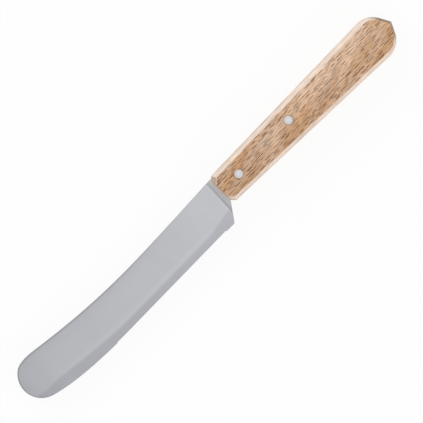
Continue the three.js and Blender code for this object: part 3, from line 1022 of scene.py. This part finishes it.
def half_thickness(face):
    """Half the steel's thickness: hollow faces, the edge band, the wheel's plunge and rounded rims."""
    edge_half = between(EDGE_HALF, NOSE_HALF, face.near_nose)
    spine_half = between(SPINE_HALF, SPINE_HALF_AT_TIP, np.clip(-face.x / BLADE_REACH, 0, 1))
    rise = (face.from_edge - face.band_width) / FACE_WIDTH
    face_half = between(BAND_HALF, spine_half, rise) - HOLLOW * bowed(rise)
    band_half = between(edge_half, BAND_HALF, face.from_edge / np.maximum(face.band_width, LEAST_BAND))
    ground = -BAND_BLEND * np.logaddexp(-face_half / BAND_BLEND, -band_half / BAND_BLEND)
    ground = ground - WHEEL_DIP * bell(face.past_plunge, WHEEL_DIP_AT, WHEEL_DIP_WIDTH)
    half = between(ground, STRIP_HALF, face.unground)
    half = rounded_rim(half, face.from_rim, RIM_ROUND)
    return rounded_rim(half, face.from_edge, RIM_ROUND * face.near_nose * (1 - face.unground))


def rounded_rim(half, from_rim, radius):
    """Half thickness where a rim of this radius rounds it off."""
    radius = np.minimum(radius, RIM_SHARE * half)
    inside = np.clip(1 - from_rim / np.maximum(radius, LEAST_RADIUS), 0, 1)
    return half - radius * (1 - np.sqrt(1 - inside ** 2))


def edge_band(face):
    """The duller band along the edge, darker towards the tip and crisper at its end."""
    softness = between(BAND_SOFTNESS, BAND_SOFTNESS_AT_TIP, soft_step(face.x, *BAND_SHARPENS))
    on_band = 1 - soft_step(face.from_edge, face.band_width - softness, face.band_width + softness)
    wide_enough = soft_step(face.band_width, 0, BAND_FADES_UNDER)
    tone = between(BAND_TONE_NEAR_HANDLE, 1, soft_step(face.x, *BAND_DARKENS))
    return on_band * wide_enough * tone * (1 - face.unground)


def painted_highlight(face):
    """Painted highlights: brighter steel above the band, beside the plunge and, faintly, all over near the
    handle.
    """
    above_band = bell(face.from_edge - face.band_width, CREST_HIGHLIGHT_ABOVE_BAND, CREST_HIGHLIGHT_WIDTH)
    crest = CREST_HIGHLIGHT * (1 - soft_step(face.x, *CREST_FADES)) * above_band
    plunge = bell(face.past_plunge, PLUNGE_HIGHLIGHT_AT, PLUNGE_HIGHLIGHT_WIDTH)
    glow = HANDLE_SIDE_HIGHLIGHT * soft_step(face.x, *HANDLE_SIDE_HIGHLIGHT_RISES)
    return np.maximum.reduce((crest, plunge, glow)) * (1 - face.unground)


def painted_rim_shade(face):
    """Painted shade: darker steel at the stamped rim, softer along the spine, at the tip and in the plunge.
    """
    rim_tone = between(RIM_SHADE_NEAR_HANDLE, RIM_SHADE_AT_TIP, soft_step(face.x, *RIM_DARKENS))
    rim = rim_tone * fading(face.from_rim, RIM_SHADE_WIDTH)
    nose_rim = RIM_SHADE_AT_NOSE * face.near_nose * fading(face.from_edge, RIM_SHADE_WIDTH)
    spine = SPINE_SHADE * soft_step(face.x, *SPINE_SHADES) * fading(face.from_rim, SPINE_SHADE_WIDTH)
    nose = NOSE_SHADE * face.near_nose * fading(face.from_edge, NOSE_SHADE_WIDTH)
    tip = TIP_SHADE * soft_step(face.x, *TIP_SHADES)
    plunge = WHEEL_SHADE * bell(face.past_plunge, WHEEL_SHADE_AT, WHEEL_SHADE_WIDTH)
    return np.maximum(rim, nose_rim) + spine + nose + tip + plunge


def keep_on_faces(piece, name, left, right):
    """Store a value for each place of the blade's two faces."""
    layer = piece.data.attributes.new(name, "FLOAT", "POINT")
    values = np.concatenate((left, right[:, ::-1]), axis=1)
    layer.data.foreach_set("value", values.astype(np.float32).ravel())


def mark_blade(piece, face):
    marks = {
        "edge_band": edge_band(face),
        "mill_skin": face.unground,
        # Painted shade along the rim, the spine, the tip and the plunge
        "painted_rim_shade": painted_rim_shade(face),
        # Painted highlights
        "painted_highlight": painted_highlight(face),
        # Painted reflection of the wood next to the handle
        "painted_wood_reflection": WOOD_REFLECTION_SHARE * soft_step(face.x, *WOOD_REFLECTION_REACH),
    }
    for name, values in marks.items():
        keep_on_faces(piece, name, values, values)


def cut_teeth(piece, face, material):
    reach_left = np.clip(1 - face.from_edge / TOOTH_REACH_LEFT, 0, 1)
    reach_right = np.clip(1 - face.from_edge / TOOTH_REACH_RIGHT, 0, 1)
    keep_on_faces(piece, "tooth_reach", reach_left, reach_right)
    keep_on_faces(piece, "tooth_scoop", np.zeros_like(reach_left), reach_right)
    follow_recipe(piece, tooth_recipe(material), {
        "First tooth": HOME.x + SERRATION_START * MM,
        "Pitch": (-SERRATION_FROM_HANDLE - SERRATION_START) / TOOTH_COUNT * MM,
        "Count": TOOTH_COUNT,
        "Inset": SERRATION_INSET_AT_TIP_END * MM,
        "Last inset": SERRATION_INSET_AT_HEEL_END * MM,
        "Depth": TOOTH_DEPTH * MM,
        "Scoop": TOOTH_SCOOP * MM,
    })


def make_blade(material):
    face = BladeFace()
    half = half_thickness(face)
    left = np.stack((face.x, face.y, half), axis=-1)
    right = np.stack((face.x, face.y, -half), axis=-1)[:, ::-1]
    piece = new_loft("ground_blade", np.concatenate((left, right), axis=1))
    mark_blade(piece, face)
    cut_teeth(piece, face, material)
    drills = [rivet_drill(place) for place in RIVET_PLACES]
    cut_away(piece, drills)
    settle(piece, drills)
    for name in ("tooth_reach", "tooth_scoop"):
        piece.data.attributes.remove(piece.data.attributes[name])
    return piece


def tooth_recipe(material):
    """Sets the edge back into pointed teeth with round gullets, scooped from the right face."""
    sizes = ("First tooth", "Pitch", "Count", "Inset", "Last inset", "Depth", "Scoop")
    bench, incoming, size = new_recipe("edge_teeth", sizes)
    x, _, _ = bench.apart(bench.node("GeometryNodeInputPosition"))
    along = (x - size["First tooth"]) / size["Pitch"]
    inside = (along > 0) * (along < size["Count"])
    to_point = 1 - 2 * abs(along - bench.math("ROUND", along))
    gullet = inside * (1 - to_point * to_point)
    reach, scoop = [
        bench.node("GeometryNodeInputNamedAttribute", {"data_type": "FLOAT"}, {"Name": name})
        for name in ("tooth_reach", "tooth_scoop")
    ]
    inset = size["Inset"] + (size["Last inset"] - size["Inset"]) * along / size["Count"]
    set_back = reach * (inside * inset + gullet * size["Depth"])
    offset = bench.together(0.0, set_back, gullet * scoop * size["Scoop"])
    toothed = bench.node("GeometryNodeSetPosition", None, {"Geometry": incoming, "Offset": offset})
    return close_recipe(bench, toothed, material)


def rivet_drill(place):
    radius = SHANK_RADIUS + BORE_CLEARANCE
    return turned_solid("rivet_drill", place, [(radius, -CUT_PAST), (radius, CUT_PAST)])


# Handle

def handle_corners():
    """Corners in counter-clockwise order: place, radius and the rounding along the side that starts there."""
    apex = point(HANDLE_LENGTH, -HANDLE_BUTT_WIDTH / 2)
    spine_butt = point(HANDLE_LENGTH - BUTT_SET_BACK, 0)
    belly_chamfer = point(FRONT_CHAMFER, belly_at(FRONT_CHAMFER))
    front_belly = point(0, FRONT_CHAMFER - HANDLE_FRONT_WIDTH)
    return (
        (belly_chamfer, CHAMFER_CORNER_RADIUS, BELLY_ROUND_WIDTH),
        (BELLY_BUTT, BUTT_SHOULDER_RADIUS, BUTT_ROUND_WIDTH),
        (apex, BUTT_APEX_RADIUS, BUTT_ROUND_WIDTH),
        (spine_butt, BUTT_SHOULDER_RADIUS, SPINE_ROUND_WIDTH),
        (point(FRONT_CHAMFER, 0), CHAMFER_CORNER_RADIUS, SPINE_ROUND_WIDTH),
        (point(0, -FRONT_CHAMFER), CHAMFER_CORNER_RADIUS, FRONT_ROUND_WIDTH),
        (front_belly, CHAMFER_CORNER_RADIUS, BELLY_ROUND_WIDTH),
    )


def handle_outline(share):
    """The handle's outline at one height; share is 0 at the straight wall and 1 at the flat faces."""
    corners = handle_corners()
    sides = []
    for (start, _, width), (end, _, _) in zip(corners, corners[1:] + corners[:1]):
        along = unit(end - start)
        sides.append((start + turned(along) * width * share, along, width))
    runs = []
    for (_, radius, _), arriving, leaving in zip(corners, sides[-1:] + sides[:-1], sides):
        mean_width = (arriving[2] + leaving[2]) / 2
        radius = max(LEAST_CORNER_RADIUS, radius - mean_width * share)
        runs.append(fillet(arriving, leaving, radius))
    return np.vstack(runs)


def fillet(arriving, leaving, radius):
    """The arc that rounds the corner between two sides."""
    distance = cross(leaving[0] - arriving[0], leaving[1]) / cross(arriving[1], leaving[1])
    corner = arriving[0] + arriving[1] * distance
    turn = math.acos(np.clip(arriving[1] @ leaving[1], -1, 1))
    start = corner - arriving[1] * radius * math.tan(turn / 2)
    centre = start + turned(arriving[1]) * radius
    first = math.atan2(*(start - centre)[::-1])
    return arc(centre, radius, first, first + turn, CORNER_STEPS)


def round_level(sweep):
    """Share and height of one level of the rounding."""
    share = (1 - math.cos(sweep)) / (1 - math.cos(ROUND_SWEEP))
    height = between(WALL_HALF, HANDLE_HALF, math.sin(sweep) / math.sin(ROUND_SWEEP))
    return point(share, height)


def handle_levels():
    """Levels from the wall up to the flat face, whose edge is broken by a small curve."""
    rounding = [round_level(sweep) for sweep in np.linspace(0, BREAK_SWEEP, ROUND_STEPS)]
    edge = quadratic(rounding[-1], point(1, HANDLE_HALF), point(BREAK_SHARE, HANDLE_HALF), BREAK_STEPS)
    return [*rounding[:-1], *edge, point(SUPPORT_SHARE, HANDLE_HALF)]


def make_handle(material):
    upper = handle_levels()
    lower = [point(share, -height) for share, height in upper[::-1]]
    rings = [ring_at(handle_outline(share), height) for share, height in lower + upper]
    piece = new_loft("beech_handle", rings)
    cutters = [slot_cutter(), *(rivet_bore(place) for place in RIVET_PLACES)]
    cut_away(piece, cutters)
    settle(piece, cutters)
    piece.data.materials.clear()
    piece.data.materials.append(material)
    return piece


def slot_cutter():
    """The saw's cut for the tang, open at the front, spine and belly, with the saw's arc at its end."""
    middle = -HANDLE_BUTT_WIDTH / 2
    reach = HANDLE_BUTT_WIDTH / 2 + CUT_PAST
    half_sweep = math.asin(reach / SAW_RADIUS)
    end = arc(point(SLOT_END - SAW_RADIUS, middle), SAW_RADIUS, -half_sweep, half_sweep, CORNER_STEPS)
    outline = np.vstack(([-CUT_PAST, middle + reach], [-CUT_PAST, middle - reach], end))
    return new_loft("saw_slot", [ring_at(outline, height) for height in (-SLOT_HALF, SLOT_HALF)])


def rivet_bore(place):
    head_foot = HANDLE_HALF - RIVET_RECESS - HEAD_DEPTH - BORE_CLEARANCE
    cone_foot = head_foot - HEAD_FLARE
    narrow = SHANK_RADIUS + BORE_CLEARANCE
    wide = narrow + HEAD_FLARE
    upper = [(narrow, cone_foot), (wide, head_foot), (wide, HANDLE_HALF + CUT_PAST)]
    lower = [(radius, -height) for radius, height in upper[::-1]]
    return turned_solid("rivet_bore", place, lower + upper)


# Rivets. Each half of the profile has one step of shank, one of cone, two of head and the rest of crown

RIVET_STEPS = 48
PROFILE_STEPS = 14
SHANK_TO = 1 / PROFILE_STEPS
CONE_TO = 2 / PROFILE_STEPS
HEAD_TO = 4 / PROFILE_STEPS
MERGE_DISTANCE = 1e-7


def rivet_recipe(material):
    """Turns a rivet from its sizes and sets one at each point of the incoming geometry."""
    sizes = ("Shank radius", "Head flare", "Head depth", "Crown", "Half length")
    bench, incoming, size = new_recipe("flush_rivet", sizes)
    rows = {"Vertices X": RIVET_STEPS + 1, "Vertices Y": 2 * PROFILE_STEPS + 1}
    sheet = bench.node("GeometryNodeMeshGrid", None, {"Size X": 1.0, "Size Y": 2.0, **rows}, "Mesh")
    across, along, _ = bench.apart(bench.node("GeometryNodeInputPosition"))
    level = abs(along)
    shank = level.ramp(0, SHANK_TO, "LINEAR")
    cone = level.ramp(SHANK_TO, CONE_TO, "LINEAR")
    head = level.ramp(CONE_TO, HEAD_TO, "LINEAR")
    crown = level.ramp(HEAD_TO, 1, "LINEAR")
    head_radius = size["Shank radius"] + size["Head flare"]
    out_to = (size["Shank radius"] + cone * size["Head flare"]) * (1 - crown)
    head_wall = size["Head depth"] - size["Crown"]
    cone_foot = size["Half length"] - size["Head depth"] - size["Head flare"]
    domed = size["Crown"] * (1 - (1 - crown) * (1 - crown))
    height = shank * cone_foot + cone * size["Head flare"] + head * head_wall + domed
    height = height * bench.math("SIGN", along)
    angle = across * (2 * math.pi)
    spot = bench.together(out_to * bench.math("COSINE", angle), out_to * bench.math("SINE", angle), height)
    store = {"data_type": "FLOAT", "domain": "POINT"}
    rim = {"Geometry": sheet, "Name": "head_rim", "Value": out_to / head_radius}
    marked = bench.node("GeometryNodeStoreNamedAttribute", store, rim)
    rolled = bench.node("GeometryNodeSetPosition", None, {"Geometry": marked, "Position": spot})
    closed = {"Geometry": rolled, "Distance": MERGE_DISTANCE}
    rivet = bench.node("GeometryNodeMergeByDistance", None, closed)
    set_out = bench.node("GeometryNodeInstanceOnPoints", None, {"Points": incoming, "Instance": rivet})
    return close_recipe(bench, set_out, material)


def make_rivets(material):
    piece = new_piece("flush_rivets", [(*place, 0) for place in RIVET_PLACES], [])
    follow_recipe(piece, rivet_recipe(material), {
        "Shank radius": SHANK_RADIUS * MM,
        "Head flare": HEAD_FLARE * MM,
        "Head depth": HEAD_DEPTH * MM,
        "Crown": RIVET_CROWN * MM,
        "Half length": (HANDLE_HALF - RIVET_RECESS) * MM,
    })
    settle(piece)
    face_outwards(piece)
    return piece


# Stage: a white table, soft lamps and the camera. The table and the lamps are measured in metres

WHITE = (1, 1, 1, 1)
TABLE_SIZE = 6
TABLE_DROP = 0.0002
TABLE_PAPER = (0.95, 0.95, 0.95, 1)
TABLE_GLOW = 0.9
WORLD_LEVEL = 0.65
# Each lamp has a name, a place, an aim, a size, a level and whether the metal mirrors it
LAMPS = (
    ("overhead", (0.29, 0.05, 0.9), (0.29, 0.05, 0), (0.9, 0.7), 0.33, True),
    ("spine_side", (0, 0.85, 0.38), (0, 0, 0), (1.2, 0.5), 2.2, False),
    ("belly_side", (0, -0.85, 0.38), (0, 0, 0), (1.2, 0.5), 1.5, False),
)
VIEW_CENTRE = (-9.232, -10.561)
VIEW_WIDTH = 178.9
VIEW_TURN = math.radians(-46.28)
LENS = 250
SENSOR = 36


def white_table():
    """Pale paper that shows as white and keeps a faint shadow of the knife."""
    material, bench = new_material("white_table")
    path = bench.node("ShaderNodeLightPath", None, None, "Is Camera Ray")
    seen = path + path.also("Is Glossy Ray") + path.also("Is Transmission Ray")
    paper = bench.node("ShaderNodeBsdfDiffuse", None, {"Color": TABLE_PAPER})
    glow = bench.node("ShaderNodeEmission", None, {"Color": WHITE, "Strength": 1.0})
    mixed = bench.node("ShaderNodeMixShader", None, {0: seen * TABLE_GLOW, 1: paper, 2: glow})
    bench.node("ShaderNodeOutputMaterial", None, {"Surface": mixed})
    return material


def make_table():
    half = TABLE_SIZE / 2
    corners = ((-half, -half), (half, -half), (half, half), (-half, half))
    mesh = bpy.data.meshes.new("table")
    mesh.from_pydata([(x, y, -TABLE_DROP) for x, y in corners], [], [(0, 1, 2, 3)])
    mesh.materials.append(white_table())
    table = bpy.data.objects.new("table", mesh)
    bpy.context.scene.collection.objects.link(table)


def make_world():
    world = bpy.data.worlds.new("studio")
    world.use_nodes = True
    bench = Bench(world.node_tree)
    light = bench.node("ShaderNodeBackground", None, {"Color": WHITE, "Strength": WORLD_LEVEL})
    bench.node("ShaderNodeOutputWorld", None, {"Surface": light})
    bpy.context.scene.world = world


def make_lamp(name, place, aim, size, level, in_mirrors):
    """A flat soft lamp; level is how bright its face is, where 1 is white."""
    data = bpy.data.lights.new(name, "AREA")
    data.shape = "RECTANGLE"
    data.size, data.size_y = size
    data.energy = level * math.pi * data.size * data.size_y
    lamp = bpy.data.objects.new(name, data)
    lamp.location = place
    lamp.rotation_euler = (Vector(aim) - Vector(place)).to_track_quat("-Z", "Y").to_euler()
    lamp.visible_camera = False
    lamp.visible_glossy = in_mirrors
    bpy.context.scene.collection.objects.link(lamp)


def make_camera():
    data = bpy.data.cameras.new("camera")
    data.lens = LENS
    data.sensor_width = SENSOR
    camera = bpy.data.objects.new("camera", data)
    height = VIEW_WIDTH * LENS / SENSOR
    camera.location = HOME + Vector((*VIEW_CENTRE, height)) * MM
    camera.rotation_euler = (0, 0, VIEW_TURN)
    bpy.context.scene.collection.objects.link(camera)
    bpy.context.scene.camera = camera


def set_stage():
    make_table()
    make_world()
    for lamp in LAMPS:
        make_lamp(*lamp)
    make_camera()
    bpy.context.scene.view_settings.view_transform = "Standard"


# The knife

blade = make_blade(ground_steel())
handle = make_handle(beech_wood())
rivets = make_rivets(sanded_aluminium())
set_stage()

for piece, slot, nodes in (
    (blade, "blade_steel", ("blade",)),
    (handle, "beech", ("handle",)),
    (rivets, "rivet_aluminium", ("front_rivet", "rear_rivet")),
):
    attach(piece, "root")
    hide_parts(*nodes)
